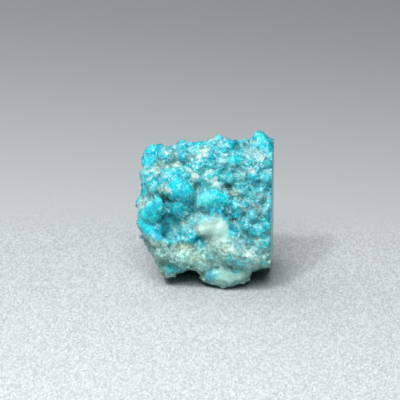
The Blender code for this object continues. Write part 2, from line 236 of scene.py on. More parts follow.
# Where the front is stained, laid on in this order: the stain, across, up, half-width and half-height in
# millimetres, and how far it rolls in degrees if it does.
PATCHES = (
    # The quartz that shows at the front, under everything else
    ("mint", 4.7, 3.5, 5.4, 3.9, -25), ("celadon", 1.4, 7.4, 2.4, 1.8, -25),
    ("sage", -5.8, 5.0, 4.65, 2.7, -20), ("mint", -1.3, 3.7, 2.7, 1.95, -10),
    ("khaki", -2.8, 5.6, 2.4, 0.9, -20), ("khaki", -7.0, 5.9, 1.05, 0.9),
    # The upper left knob, and what lies under it
    ("blue", -8.0, 20.5, 1.35, 1.35), ("bright", -8.8, 18.8, 0.9, 0.75), ("blue", -6.4, 21.1, 0.38, 0.9, 20),
    ("blue", -7.7, 18.2, 0.9, 0.38), ("blue", -9.4, 19.7, 0.38, 0.9, 20), ("bright", -8.2, 20.8, 0.45, 0.3),
    ("mist", -9.2, 17.5, 0.6, 1.05), ("blue", -8.8, 16.7, 0.45, 0.75), ("white", -8.0, 17.5, 0.45, 0.3),
    ("sage", -7.3, 17.9, 0.75, 0.6),
    # The grey hollow beside the knob, its bead and the rim above
    ("mist", -5.3, 20.3, 1.35, 1.05), ("umber", -4.4, 19.4, 0.6, 0.6), ("mist", -4.4, 21.2, 0.75, 0.45),
    ("lagoon", -3.2, 21.4, 0.75, 0.75), ("blue", -2.4, 21.7, 2.2, 0.55), ("bright", -1.0, 21.2, 0.6, 0.6),
    ("ice", -2.2, 20.7, 0.5, 0.4), ("blue", -3.2, 19.6, 0.67, 0.67), ("cream", -4.1, 18.7, 0.9, 0.3),
    ("white", -0.8, 19.6, 0.6, 0.6), ("mist", -2.2, 19.6, 0.9, 0.9),
    # The cream line that runs round the great lump
    ("cream", -8.2, 16.3, 0.6, 0.3, 40), ("cream", -7.0, 17.3, 0.75, 0.38, 35),
    ("cream", -5.8, 18.1, 0.75, 0.38, 20), ("cream", -4.3, 18.2, 0.9, 0.3),
    ("cream", -2.6, 17.6, 0.75, 0.38, -25), ("cream", -1.4, 16.7, 0.38, 0.9, 10),
    ("sage", -6.5, 18.4, 0.75, 0.6),
    # The great lump
    ("lagoon", -4.9, 17.3, 1.65, 0.75), ("ice", -5.9, 16.9, 0.6, 0.45), ("bright", -3.8, 17.5, 0.9, 0.45),
    # The two small dark patches at the lump's upper right are painted shade in the gully there
    ("teal", -2.5, 16.4, 0.6, 0.9), ("umber", -1.6, 15.5, 0.38, 0.75, 20), ("ink", -1.1, 15.1, 0.22, 0.3),
    ("bright", -3.7, 14.6, 1.8, 1.65), ("lagoon", -4.0, 15.2, 0.45, 0.3), ("blue", -2.6, 13.7, 0.9, 0.75),
    ("blue", -4.1, 13.0, 1.05, 0.53), ("white", -5.9, 14.6, 0.6, 0.38), ("white", -5.0, 14.3, 0.22, 0.45),
    # The deep patch under the lump is painted shade on its underside
    ("teal", -3.5, 11.5, 1.5, 1.05), ("blue", -4.7, 11.8, 0.75, 0.9), ("deep", -3.1, 10.6, 1.2, 0.38),
    ("bright", -4.3, 12.2, 0.6, 0.3),
    # The drusy ridge and the bulge at the left edge
    ("lagoon", -7.7, 15.2, 1.2, 0.9), ("ice", -8.2, 15.1, 0.45, 0.45), ("blue", -6.8, 15.7, 0.9, 0.6),
    ("mist", -6.2, 15.2, 0.6, 0.45), ("lagoon", -9.5, 13.4, 0.75, 1.05), ("ice", -9.1, 12.7, 1.1, 1.0),
    ("white", -9.1, 12.6, 0.8, 0.8), ("cream", -10.0, 12.4, 0.38, 0.75), ("mist", -7.9, 13.9, 0.6, 0.75),
    ("umber", -6.1, 13.6, 0.45, 0.9), ("sage", -6.7, 14.5, 0.6, 0.45),
    # The crescent and the hollow that it holds: the teal patch at its inner side is painted shade, and the
    # deep patches and the small dark one in the hollow are partly deep colour and partly painted shade
    ("blue", -7.9, 9.8, 2.1, 2.7, 10), ("teal", -7.3, 10.2, 1.6, 2.1), ("deep", -6.2, 8.9, 1.35, 1.35, -20),
    ("deep", -6.7, 9.6, 1.1, 1.6, 10), ("bright", -9.3, 10.4, 0.8, 1.65),
    ("bright", -8.6, 8.9, 0.9, 0.75, -30), ("blue", -7.3, 12.5, 1.05, 0.75, 30),
    ("bright", -7.0, 13.6, 0.45, 0.45), ("ink", -5.3, 9.8, 0.45, 0.45), ("mist", -4.6, 8.6, 0.45, 0.75),
    ("blue", -6.7, 7.7, 1.2, 0.45, -10), ("bright", -5.0, 6.7, 0.9, 0.45), ("sky", -9.2, 7.7, 0.45, 0.45),
    # The lower left rock and its blue-green foot
    ("sage", -8.2, 7.0, 1.2, 0.6, -40), ("sage", -7.0, 5.5, 1.05, 1.05), ("moss", -6.4, 5.3, 0.75, 0.6),
    ("sage", -4.9, 5.3, 0.9, 0.6), ("white", -4.6, 4.9, 0.3, 0.22), ("mint", -2.8, 4.7, 1.5, 1.05),
    ("celadon", -1.7, 4.4, 0.9, 0.9), ("khaki", -1.4, 4.3, 0.9, 0.6), ("moss", -2.8, 3.2, 1.65, 0.53),
    ("teal", -5.2, 3.0, 1.3, 1.1), ("moss", -6.4, 3.4, 0.6, 0.9), ("sky", -3.5, 2.6, 1.2, 0.3),
    ("mint", -4.8, 4.2, 0.6, 0.38),
    # The pale drusy field between the great lump and the tongue
    ("ice", -2.2, 9.4, 1.2, 1.05), ("ice", -2.5, 8.8, 0.75, 0.45), ("mint", -3.1, 9.8, 0.6, 0.6),
    ("mist", -1.6, 10.7, 0.6, 0.75), ("teal", -1.3, 11.2, 0.45, 0.45), ("sky", -3.7, 8.8, 0.38, 0.75),
    ("bright", -2.5, 7.3, 1.2, 0.67, -20), ("ice", -2.8, 7.3, 0.45, 0.45),
    ("blue", -0.5, 7.1, 0.75, 0.8, 30), ("bright", -0.8, 7.0, 0.45, 0.6, 30),
    # The waxy tongue
    # The pale streak on this line, along the tongue's top, is partly its pale colour and partly a painted
    # highlight
    ("celadon", 1.2, 9.5, 2.5, 1.5, -8), ("ice", 0.3, 10.4, 1.0, 0.35, -5), ("cream", -0.5, 8.8, 1.0, 0.8),
    ("cream", -1.1, 8.9, 0.38, 0.9), ("lime", -0.7, 8.6, 0.45, 0.3), ("cream", 0.1, 8.0, 1.2, 0.22),
    ("celadon", 2.8, 9.0, 0.9, 1.0), ("celadon", 1.6, 8.8, 0.9, 0.45),
    # The pale slab, its blue-green spot and the front foot
    ("celadon", 1.7, 6.7, 1.95, 1.2, -20), ("mist", 5.0, 6.7, 1.35, 0.9, -40),
    ("white", 6.5, 5.3, 1.05, 0.6, -30), ("cream", 3.1, 5.6, 1.35, 0.75), ("mint", 0.2, 5.6, 1.05, 0.9),
    ("blue", -0.4, 6.8, 0.8, 0.6, 20), ("sky", 0.7, 4.6, 0.45, 0.75, 30), ("mist", 1.7, 4.6, 0.6, 0.6),
    ("mint", 2.2, 3.4, 1.05, 1.05), ("celadon", 7.6, 3.7, 0.9, 1.2), ("mist", 7.3, 3.7, 0.45, 0.75),
    ("lagoon", 3.7, 4.3, 0.75, 0.75), ("sky", 5.0, 3.6, 1.5, 1.3), ("lagoon", 4.7, 2.3, 0.75, 0.53),
    ("wine", 6.1, 4.4, 0.33, 0.24, 30), ("celadon", 6.1, 1.6, 1.5, 0.6, 10),
    ("sky", 0.9, 1.7, 0.9, 1.45, -30), ("sage", 2.8, 1.1, 1.2, 0.9), ("mint", 4.3, 0.5, 0.9, 0.45),
    ("white", 4.3, 5.3, 0.6, 0.22),
    # The middle lump
    ("lagoon", 0.5, 13.1, 1.8, 1.05), ("ice", -0.1, 13.7, 1.2, 0.6), ("bright", 2.8, 13.3, 0.9, 0.9),
    ("blue", 1.4, 11.9, 0.75, 0.6), ("white", -1.1, 12.2, 0.45, 0.45), ("mist", -0.2, 11.3, 0.6, 0.45),
    ("blue", 2.2, 11.2, 1.2, 0.45), ("bright", 0.7, 11.5, 0.45, 0.45),
    # The crown, the saddle and the horn
    ("cream", -0.2, 20.6, 1.05, 0.75), ("cream", 0.2, 19.9, 0.6, 0.45), ("ice", 1.3, 22.3, 0.9, 0.6),
    # The white streak on this line, along the crown's top, is a painted highlight
    ("lagoon", 2.2, 22.7, 0.45, 0.45), ("ice", 2.6, 21.5, 0.53, 0.6), ("white", 4.0, 22.4, 0.9, 0.22),
    ("blue", 3.7, 21.2, 0.82, 0.82), ("teal", 5.3, 21.4, 1.5, 0.8), ("mist", 6.5, 21.7, 0.75, 0.6),
    ("sage", 7.6, 22.0, 0.6, 0.6), ("blue", 8.2, 22.7, 0.9, 0.75), ("bright", 8.6, 21.7, 0.67, 0.75),
    ("bright", 8.0, 23.0, 0.45, 0.3), ("blue", 9.5, 21.1, 0.38, 1.5), ("sky", 6.3, 21.0, 1.6, 0.8),
    ("mist", 7.7, 19.9, 1.6, 1.1), ("mist", 6.7, 20.3, 0.75, 0.75), ("cream", 8.6, 19.4, 0.45, 0.3),
    ("ink", 9.2, 19.3, 0.36, 0.36), ("ink", 7.6, 18.7, 0.6, 0.34), ("teal", 9.2, 18.2, 0.6, 0.45),
    ("moss", 9.4, 17.3, 0.45, 0.45),
    # The beaded field at the right
    ("lagoon", -0.1, 17.9, 1.2, 1.05), ("blue", 0.2, 19.3, 0.6, 0.45), ("white", 0.8, 17.5, 0.6, 0.38, -20),
    # The thin white patch on this line is a painted glint on the blue bead before it
    ("blue", 1.7, 19.7, 0.6, 0.38), ("white", 1.9, 20.3, 0.45, 0.15), ("mist", 2.6, 19.1, 0.75, 0.9),
    ("white", 1.4, 16.3, 0.75, 0.45), ("ice", 0.7, 15.5, 0.6, 0.6), ("cream", 1.9, 15.5, 0.53, 0.75),
    ("teal", 0.5, 14.9, 0.6, 0.22), ("mist", 0.1, 16.4, 0.6, 0.6), ("bright", 4.7, 19.3, 1.2, 0.75),
    ("blue", 6.5, 18.8, 0.6, 0.6), ("ice", 4.3, 18.2, 0.75, 0.6), ("ice", 5.9, 17.6, 1.35, 0.38),
    # The first white patch on this line is a painted highlight
    ("white", 7.0, 17.6, 0.45, 0.38), ("bright", 7.6, 16.6, 1.2, 0.82), ("mist", 5.3, 16.7, 0.9, 0.6),
    ("sky", 3.8, 16.3, 0.75, 0.75), ("ink", 3.4, 14.9, 0.9, 0.6, -20), ("umber", 4.0, 14.2, 0.75, 0.6),
    ("cream", 4.7, 14.2, 0.6, 0.53), ("ice", 5.8, 14.5, 0.75, 0.75), ("ink", 5.5, 13.3, 0.75, 0.42),
    ("lagoon", 6.4, 13.6, 0.6, 0.6), ("deep", 8.0, 15.1, 1.2, 0.42), ("ice", 9.2, 16.4, 0.67, 0.75),
    ("blue", 9.2, 16.4, 0.3, 0.33), ("mist", 8.5, 13.7, 1.05, 0.9), ("sky", 7.4, 13.7, 0.45, 0.6),
    ("umber", 7.7, 12.2, 0.95, 0.7), ("teal", 8.8, 12.7, 0.6, 0.27), ("lagoon", 4.7, 12.2, 0.75, 0.6),
    ("white", 5.8, 11.9, 0.45, 0.45), ("ink", 4.3, 10.1, 0.65, 0.5), ("deep", 5.8, 10.7, 0.6, 0.6),
    ("ice", 7.3, 10.7, 0.82, 0.82), ("sky", 7.3, 10.7, 0.53, 0.53), ("ink", 8.6, 11.2, 0.42, 0.42),
    ("ice", 9.2, 11.5, 0.45, 0.9), ("bright", 9.4, 9.1, 0.45, 0.6), ("umber", 9.7, 8.0, 0.27, 0.6),
    ("sky", 5.3, 8.9, 1.2, 0.6, -20), ("teal", 3.4, 10.0, 0.45, 0.75), ("deep", 4.0, 8.8, 0.53, 0.45),
    ("ice", 5.5, 7.7, 0.45, 0.6),
    # The blue-green drusy at the lower right
    ("teal", 6.7, 7.9, 1.05, 0.9), ("lagoon", 8.5, 8.3, 0.9, 0.6), ("mist", 7.6, 6.4, 0.9, 0.6),
    ("sky", 8.3, 5.6, 0.75, 0.75), ("sage", 7.7, 7.1, 0.45, 0.6), ("teal", 7.0, 6.8, 0.6, 0.6),
    # The last patch on this line, at the bottom, is partly its dark green colour and partly painted shade on
    # the underside there
    ("moss", 9.4, 4.7, 0.53, 1.05), ("lagoon", 8.8, 3.7, 0.45, 0.45), ("moss", 8.6, 2.8, 1.05, 0.6),
    ("ice", 9.5, 6.7, 0.3, 0.9),
)

# Smooth forms of the front that stand on the solid: across, up, half-width, half-height and half-depth, how
# far they stand proud of it, all in millimetres, and how far they roll in degrees.
SMOOTH_LUMPS = {
    "knob": (-7.7, 20.3, 1.5, 1.25, 1.3, 0.3, 25),
    "knob_low": (-8.6, 18.9, 1.0, 0.85, 0.9, 0.25, 0),
    "great_lump": (-3.8, 14.8, 1.9, 1.8, 1.7, 0.45, -20),
    "great_lump_low": (-3.6, 12.0, 1.5, 1.1, 1.2, 0.35, 0),
    "horn": (8.3, 22.3, 1.2, 1.1, 1.1, 0.2, -20),
    "horn_edge": (9.5, 20.9, 0.6, 1.5, 0.9, 0.15, 0),
    "blue_ball": (3.7, 21.2, 0.85, 0.85, 0.85, 0.35, 0),
    "crown_bead": (2.2, 22.6, 0.5, 0.5, 0.5, 0.2, 0),
    "bead_left": (-3.2, 19.6, 0.66, 0.66, 0.66, 0.35, 0),
    "bead_grey": (3.8, 16.3, 0.78, 0.78, 0.78, 0.35, 0),
    "bead_ring": (7.3, 10.7, 0.85, 0.85, 0.85, 0.4, 0),
    "bead_by_saw": (9.2, 16.4, 0.72, 0.8, 0.72, 0.35, 0),
    "blue_by_tongue": (-0.9, 7.1, 1.0, 0.8, 0.8, 0.6, 35),
    "in_the_crescent": (-5.9, 9.9, 1.5, 1.9, 1.2, 0.6, 0),
    "bead_lower_right": (8.8, 3.7, 0.45, 0.45, 0.45, 0.2, 0),
    "middle_lump": (1.3, 13.0, 2.4, 1.7, 1.3, 0.45, -10),
}

# Rolls along a line: how smooth they are, then across, up, radius and how far they stand proud, in
# millimetres.
ROLLS = {
    "crescent": (1.0, (-6.8, 12.9, 0.6, 0.1), (-7.9, 11.9, 0.9, 0.15), (-8.7, 10.7, 1.2, 0.25),
        (-8.8, 9.4, 1.3, 0.3), (-8.3, 8.4, 1.1, 0.25), (-7.3, 7.6, 0.8, 0.15), (-6.2, 7.1, 0.5, 0.1)),
    "crescent_wall": (0.9, (-7.0, 11.9, 0.9, 0.35), (-7.6, 10.8, 1.2, 0.5), (-7.7, 9.6, 1.4, 0.55),
        (-7.2, 8.6, 1.2, 0.4), (-6.3, 8.0, 0.9, 0.25)),
    "slab": (0.1, (0.6, 7.2, 1.2, 0.2), (1.8, 7.1, 1.7, 0.4), (3.2, 6.6, 1.9, 0.35), (4.6, 5.6, 1.8, 0.15),
        (6.0, 4.6, 1.5, 0.1)),
    "front_foot": (1.0, (0.9, 2.0, 1.0, 0.1), (2.2, 1.6, 1.1, 0.1), (3.8, 1.4, 1.0, 0.1),
        (5.4, 1.8, 0.8, 0.05)),
    "tongue_back": (0.9, (0.0, 9.7, 0.9, 0.55), (1.2, 10.0, 1.0, 0.6), (2.6, 9.8, 1.0, 0.45),
        (3.6, 8.8, 1.0, 0.3)),
    "tongue": (1.0, (-0.5, 8.6, 0.8, 0.8), (0.1, 8.9, 1.1, 0.75), (1.2, 9.0, 1.4, 0.6),
        (2.4, 8.6, 1.6, 0.45)),
    "tongue_slope": (0.6, (0.9, 8.3, 1.3, 0.55), (2.2, 7.9, 1.6, 0.6), (3.4, 7.3, 1.7, 0.5),
        (4.6, 6.4, 1.5, 0.35)),
    "tongue_tail": (0.1, (2.7, 8.6, 1.5, 0.45), (4.2, 7.4, 1.8, 0.22), (5.5, 6.1, 1.4, 0.15)),
    "saddle": (0.2, (3.4, 21.7, 0.8, 0.4), (4.8, 21.5, 0.8, 0.4), (6.2, 21.5, 0.8, 0.4),
        (7.3, 21.9, 0.8, 0.3)),
    "left_skyline": (0.2, (-6.2, 20.3, 0.8, 0.3), (-4.8, 20.6, 0.9, 0.4), (-3.2, 21.1, 0.8, 0.4),
        (-1.4, 21.1, 0.8, 0.4), (0.2, 21.3, 0.8, 0.3)),
    "by_the_knob": (0.1, (-6.2, 19.9, 1.1, 0.45), (-4.6, 19.5, 1.1, 0.45)),
    "over_great_lump": (0.1, (-5.4, 18.3, 0.9, 0.4), (-3.7, 18.3, 0.9, 0.4), (-2.2, 17.9, 0.9, 0.4)),
    "beside_great_lump": (0.1, (-1.3, 16.4, 0.8, 0.5), (-1.3, 14.6, 0.8, 0.5)),
    "left_foot": (0.8, (-5.9, 3.2, 0.9, 0.1), (-5.0, 2.9, 1.1, 0.1), (-4.0, 3.0, 0.9, 0.1)),
}
ROLL_STEPS = 5


def sight_directions():
    """Across, up and away, for someone who looks at the front."""
    across = Vector((math.cos(LOOK_TURN), math.sin(LOOK_TURN), 0.0))
    away = Vector((-math.sin(LOOK_TURN) * math.cos(LOOK_DOWN), math.cos(LOOK_TURN) * math.cos(LOOK_DOWN),
                   -math.sin(LOOK_DOWN)))
    return across, across.cross(away), away


ACROSS, UP, AWAY = sight_directions()


def seen(points):
    """Across, up and depth in millimetres of points in metres."""
    return (points - np.array(SIGHT_POINT)) @ np.array((ACROSS, UP, AWAY)).T / MM


def seen_place(skin, across_mm, up_mm):
    """Where the line of sight at this place of the front meets the skin, or passes nearest to it."""
    start = SIGHT_POINT + ACROSS * across_mm * MM + UP * up_mm * MM - AWAY * SIGHT_START
    met = skin.ray_cast(start, AWAY)[0]
    if met is None:
        near = skin.find_nearest(start + AWAY * SIGHT_START)[0]
        met = start + AWAY * (near - start).dot(AWAY)
    return met


def turned_to_viewer(roll):
    """The turn that lays a shape's X across, its Y up and its Z towards the viewer, rolled by the degrees."""
    return Matrix((ACROSS, UP, -AWAY)).transposed().to_4x4() @ Matrix.Rotation(roll * DEG, 4, "Z")


def smooth_step(low, high, values):
    """0 below low, 1 above high, and eased between them."""
    share = np.clip((values - low) / (high - low), 0.0, 1.0)
    return share * share * (3.0 - 2.0 * share)


def cloud(points, size, offset=0.0):
    """Soft noise from about 0 to 1 at points in metres, with lumps of a size in metres."""
    shift = Vector((offset, -offset, offset * 0.5))
    return np.array([0.5 + 0.5 * noise.fractal(Vector(p) / size + shift, 0.8, 2.2, 3) for p in points])


class Paint:
    """What the stone's skin is made of at each point: its stain, crust or quartz, and how smooth it is."""

    def __init__(self, points, skin):
        spots = seen(points)
        ragged = cloud(points, RAGGED_WAVE) - 0.5
        drift = np.column_stack([cloud(points, PATCH_WAVE, offset) - 0.5 for offset in (5.0, 9.0)])
        spots[:, :2] += drift * PATCH_DRIFT
        from_corner = np.linalg.norm(points - np.array(CRUST_CORNER), axis=1)
        beyond = CRUST_REACH - from_corner + (cloud(points, CRUST_WAVE, 3.0) - 0.5) * CRUST_RAGGED
        front = 1.0 - smooth_step(*FRONT_DEPTH, spots[:, 2] + ragged)
        self.crust = np.maximum(smooth_step(-1.0, 1.0, beyond / CRUST_FADE), front)
        self.crust *= smooth_step(*CRUST_LOW, points[:, 2] + ragged * LOW_RAGGED)
        self.smooth = np.zeros(len(points))
        self.stain = np.zeros((len(points), 3))
        self.cover = np.zeros(len(points))
        for stain, across_mm, up_mm, wide, high, *roll in PATCHES:
            depth = seen(np.array([seen_place(skin, across_mm, up_mm)]))[0, 2]
            self.lay_on(stain, spots, ragged, (across_mm, up_mm, depth), (wide, high), *roll)
        for across_mm, up_mm, wide, high, _, _, _ in SMOOTH_LUMPS.values():
            self.smooth_out(skin, seen(points), across_mm, up_mm, wide, high, LUMPS_SMOOTH)
        for share, *line in ROLLS.values():
            for across_mm, up_mm, radius, _ in line:
                self.smooth_out(skin, seen(points), across_mm, up_mm, radius, radius, share)

    def smooth_out(self, skin, spots, across_mm, up_mm, wide, high, share):
        """Make a round form of the front smooth, by a share."""
        depth = seen(np.array([seen_place(skin, across_mm, up_mm)]))[0, 2]
        off = (spots - np.array((across_mm, up_mm, depth))) / (wide, high, SMOOTH_DEPTH * max(wide, high))
        near = 1.0 - smooth_step(*SMOOTH_EDGE, np.linalg.norm(off, axis=1))
        self.smooth = np.maximum(self.smooth, near * share)

    def lay_on(self, stain, spots, ragged, middle, half, roll=0):
        """One patch of a stain, rolled by the degrees."""
        colour, crust, smooth = STAINS[stain]
        off = spots - np.array(middle)
        cosine, sine = math.cos(roll * DEG), math.sin(roll * DEG)
        along = off[:, 0] * cosine + off[:, 1] * sine
        over = off[:, 1] * cosine - off[:, 0] * sine
        deep = off[:, 2] / (PATCH_DEPTH[0] + PATCH_DEPTH[1] * max(half))
        far = np.sqrt((along / half[0]) ** 2 + (over / half[1]) ** 2 + deep ** 2)
        share = 1.0 - smooth_step(*PATCH_EDGE, far + ragged * PATCH_RAGGED)
        self.cover = share + self.cover * (1.0 - share)
        self.stain += (np.array(colour) - self.stain) * (share / np.maximum(self.cover, ALMOST_NONE))[:, None]
        self.crust += (crust - self.crust) * share
        self.smooth += (smooth - self.smooth) * share


def evaluated_mesh(obj):
    """The object's mesh with its modifiers made final."""
    graph = bpy.context.evaluated_depsgraph_get()
    return bpy.data.meshes.new_from_object(obj.evaluated_get(graph))


def linked_object(name, mesh):
    """A mesh object in the scene, at the origin."""
    obj = bpy.data.objects.new(name, mesh)
    bpy.context.scene.collection.objects.link(obj)
    return obj


def wrapped(bm, voxel, smoothing):
    """One closed skin round everything in the bmesh, as a mesh."""
    mesh = bpy.data.meshes.new("wrap")
    bm.to_mesh(mesh)
    bm.free()
    obj = linked_object("wrap", mesh)
    wrap = obj.modifiers.new("wrap", "REMESH")
    wrap.mode = "VOXEL"
    wrap.voxel_size = voxel
    ease = obj.modifiers.new("ease", "SMOOTH")
    ease.iterations = smoothing
    final = evaluated_mesh(obj)
    bpy.data.objects.remove(obj)
    return final


def merged_stone():
    """The stone's solid with its triangles joined up."""
    bm = bmesh.new()
    bm.from_mesh(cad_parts["turquoise"].data)
    bmesh.ops.remove_doubles(bm, verts=bm.verts[:], dist=MERGE)
    return bm


def add_ball(bm, centre, half, turn=Matrix.Identity(4)):
    """A ball of the given half-sizes."""
    place = Matrix.Translation(centre) @ turn @ Matrix.Diagonal((*half, 1.0))
    bmesh.ops.create_icosphere(bm, subdivisions=BEAD_ROUNDNESS, radius=1.0, matrix=place)


def add_grain(bm, centre, half, turn):
    """A blocky grain of the given half-sizes."""
    place = Matrix.Translation(centre) @ turn @ Matrix.Diagonal((*half, 1.0))
    bmesh.ops.create_cube(bm, size=2.0, matrix=place)


def add_smooth_lumps(bm, skin):
    """The knobs, the tongue and the other smooth forms of the front."""
    for across_mm, up_mm, wide, high, deep, proud, roll in SMOOTH_LUMPS.values():
        centre = seen_place(skin, across_mm, up_mm) + AWAY * (deep - proud) * MM
        add_ball(bm, centre, Vector((wide, high, deep)) * MM, turned_to_viewer(roll))


def add_roll(bm, skin, line):
    """A smooth roll along a line of the front."""
    for start, end in zip(line, line[1:]):
        for step in range(ROLL_STEPS):
            share = step / ROLL_STEPS
            across_mm, up_mm, radius, proud = (a + (b - a) * share for a, b in zip(start, end))
            centre = seen_place(skin, across_mm, up_mm) + AWAY * (radius - proud) * MM
            add_ball(bm, centre, Vector((radius,) * 3) * MM)


def surface_spots(bm, draw):
    """Seeded points all over the surface, evenly by area, with the way that each faces."""
    bm.faces.ensure_lookup_table()
    reach = np.cumsum([face.calc_area() for face in bm.faces])
    picks = np.searchsorted(reach, [draw.random() * reach[-1] for _ in range(SPOT_TRIES)])
    spots = []
    for pick in picks:
        face = bm.faces[int(pick)]
        shares = sorted((draw.random(), draw.random()))
        corners = [loop.vert.co for loop in face.loops[:3]]
        point = corners[0] * shares[0] + corners[1] * (shares[1] - shares[0]) + corners[2] * (1 - shares[1])
        spots.append((point, face.normal.copy()))
    return spots


def is_clear(point, gap, taken, cell):
    """Whether no earlier spot lies within the gap; keeps the point if so."""
    home = tuple(int(math.floor(value / cell)) for value in point)
    steps = (-1, 0, 1)
    for key in [(home[0] + i, home[1] + j, home[2] + k) for i in steps for j in steps for k in steps]:
        for other, other_gap in taken.get(key, ()):
            if (point - other).length < (gap + other_gap) / 2:
                return False
    taken.setdefault(home, []).append((point, gap))
    return True


def pour(batch, bm):
    """Move everything in the batch to the bmesh: small shapes are made faster in a small batch."""
    mesh = bpy.data.meshes.new("batch")
    batch.to_mesh(mesh)
    batch.clear()
    bm.from_mesh(mesh)
    bpy.data.meshes.remove(mesh)


def add_beads_and_grains(bm, skin, settings):
    """The crust's beads and the quartz's grains, each as dense as its kind grows. Returns the beads."""
    draw = random.Random(SEED)
    spots = surface_spots(bm, draw)
    paint = Paint(np.array([tuple(point) for point, _ in spots]), skin)
    taken = {}
    beads = []
    cell = settings.bead_large * CELL_REACH
    batch = bmesh.new()
    for (point, facing), crust, smooth in zip(spots, paint.crust, paint.smooth):
        size, tone = draw.random(), draw.random()
        turn = Euler([draw.uniform(0, math.pi) for _ in range(3)]).to_matrix().to_4x4()
        half = Vector([draw.uniform(settings.grain_small, settings.grain_large) for _ in range(3)])
        flat = point.x > SAW_X - SAW_SNAP or point.z < FLOOR_SNAP
        if flat or smooth > draw.uniform(*TOO_SMOOTH):
            continue
        if crust > 0.5:
            radius = settings.bead_small + (settings.bead_large - settings.bead_small) * size ** 2
            if is_clear(point, radius * settings.bead_gap, taken, cell):
                add_ball(batch, point - facing * radius * settings.bead_sunk, (radius,) * 3)
                beads.append((point, radius, tone))
        elif is_clear(point, max(half) * settings.grain_gap, taken, cell):
            add_grain(batch, point - facing * half.z * settings.grain_sunk, half, turn)
        if len(batch.verts) > BATCH_VERTICES:
            pour(batch, bm)
    pour(batch, bm)
    batch.free()
    return beads


def knobs(points, size):
    """Round knobs with creases between them, from about -0.5 to 0.4 high."""
    return np.array([KNOB_MIDDLE - noise.voronoi(Vector(point) / size)[0][0] for point in points])


def facets(points, size):
    """Flat faces broken at random tilts, from about -0.6 to 0.6 high."""
    heights = np.zeros(len(points))
    for index, point in enumerate(points):
        place = Vector(point) / size
        middle = noise.voronoi(place)[1][0]
        tilt = noise.cell_vector(middle * FACET_SHUFFLE) - Vector((0.5, 0.5, 0.5))
        heights[index] = (place - middle).dot(tilt) + FACET_STEP * tilt.x
    return heights


def relief(points, crust, smooth, settings):
    """How far each point of the skin is raised: knobs on the crust and broken facets on the quartz."""
    size, small = settings.knob_size, settings.knob_size * SMALLER
    crusty = (knobs(points, size) + knobs(points, small) * SMALLER) * settings.knob_height
    size, small = settings.facet_size, settings.facet_size * SMALLER
    broken = (facets(points, size) + facets(points, small) * SMALLER) * settings.facet_height
    return (crusty * crust + broken * (1.0 - crust)) * (1.0 - SMOOTH_KEEPS * smooth)


def thinned(mesh, triangles):
    """The mesh with about so many triangles, fewest where it is flat."""
    obj = linked_object("thin", mesh)
    thin = obj.modifiers.new("thin", "DECIMATE")
    thin.ratio = triangles / (2 * len(mesh.polygons))
    final = evaluated_mesh(obj)
    bpy.data.objects.remove(obj)
    return final


def flattened(places, ways):
    """Lays the sawn face and the feet in their planes. Returns which vertices are on the sawn face."""
    leans = ways[:, 0] > SAWN_LEAN
    sawn = (places[:, 0] > SAW_X - SAW_SNAP) | ((places[:, 0] > SAW_X - 2 * SAW_SNAP) & leans)
    places[sawn, 0] = SAW_X - SAW_INSET
    places[places[:, 2] < FLOOR_SNAP, 2] = 0.0
    return sawn


def neighbour_means(values, edges, count):
    """The mean of each vertex's neighbours."""
    starts, ends = edges[:, 0], edges[:, 1]
    degree = np.bincount(starts, minlength=count) + np.bincount(ends, minlength=count)
    total = np.stack([
        np.bincount(starts, values[ends, axis], count) + np.bincount(ends, values[starts, axis], count)
        for axis in range(values.shape[1])], axis=1)
    return total / np.maximum(degree, 1)[:, None]


def vertex_arrays(mesh):
    """The mesh's vertex places, the ways they face, and its edges."""
    count = len(mesh.vertices)
    places, ways = np.zeros(count * 3), np.zeros(count * 3)
    mesh.vertices.foreach_get("co", places)
    mesh.vertex_normals.foreach_get("vector", ways)
    edges = np.zeros(len(mesh.edges) * 2, dtype=np.int32)
    mesh.edges.foreach_get("vertices", edges)
    return places.reshape(-1, 3), ways.reshape(-1, 3), edges.reshape(-1, 2)


def put_back(mesh, places):
    """The vertex places back in the mesh."""
    mesh.vertices.foreach_set("co", places.ravel())
    mesh.update()


def hollowness(places, ways, edges, steps, full):
    """0 on ridges, 0.5 on flats and 1 in hollows, as wide as the steps reach and as deep as full metres."""
    soft = places.copy()
    for _ in range(steps):
        soft = 0.5 * soft + 0.5 * neighbour_means(soft, edges, len(places))
    return np.clip(0.5 + 0.5 * np.einsum("ij,ij->i", soft - places, ways) / full, 0.0, 1.0)


def keep_attribute(mesh, name, values):
    """A number or a colour on each vertex, for the material."""
    if values.ndim == 1:
        mesh.attributes.new(name, "FLOAT", "POINT").data.foreach_set("value", values.astype(np.float32))
    else:
        mesh.attributes.new(name, "FLOAT_COLOR", "POINT").data.foreach_set(
            "color", values.astype(np.float32).ravel())


def bead_tones(places, beads):
    """A tone for each vertex from the bead that it belongs to."""
    tree = KDTree(len(beads))
    for index, (centre, _, _) in enumerate(beads):
        tree.insert(centre, index)
    tree.balance()
    return np.array([beads[tree.find(place)[1]][2] for place in places])


def sawn_rim(mesh, places, crust):
    """On the sawn face, each vertex's distance to its edge in millimetres. Gives it that edge's crust."""
    sawn = places[:, 0] > SAW_X - SAW_INSET * 1.5
    outside = np.flatnonzero(~sawn & (places[:, 0] > SAW_X - RIM_REACH * SAW_SNAP))
    tree = KDTree(len(outside))
    for index, vertex in enumerate(outside):
        tree.insert(places[vertex], int(vertex))
    tree.balance()
    rim = np.zeros(len(places))
    for vertex in np.flatnonzero(sawn):
        _, nearest, distance = tree.find(places[vertex])
        rim[vertex] = distance / MM
        crust[vertex] = crust[nearest]
    return sawn, rim


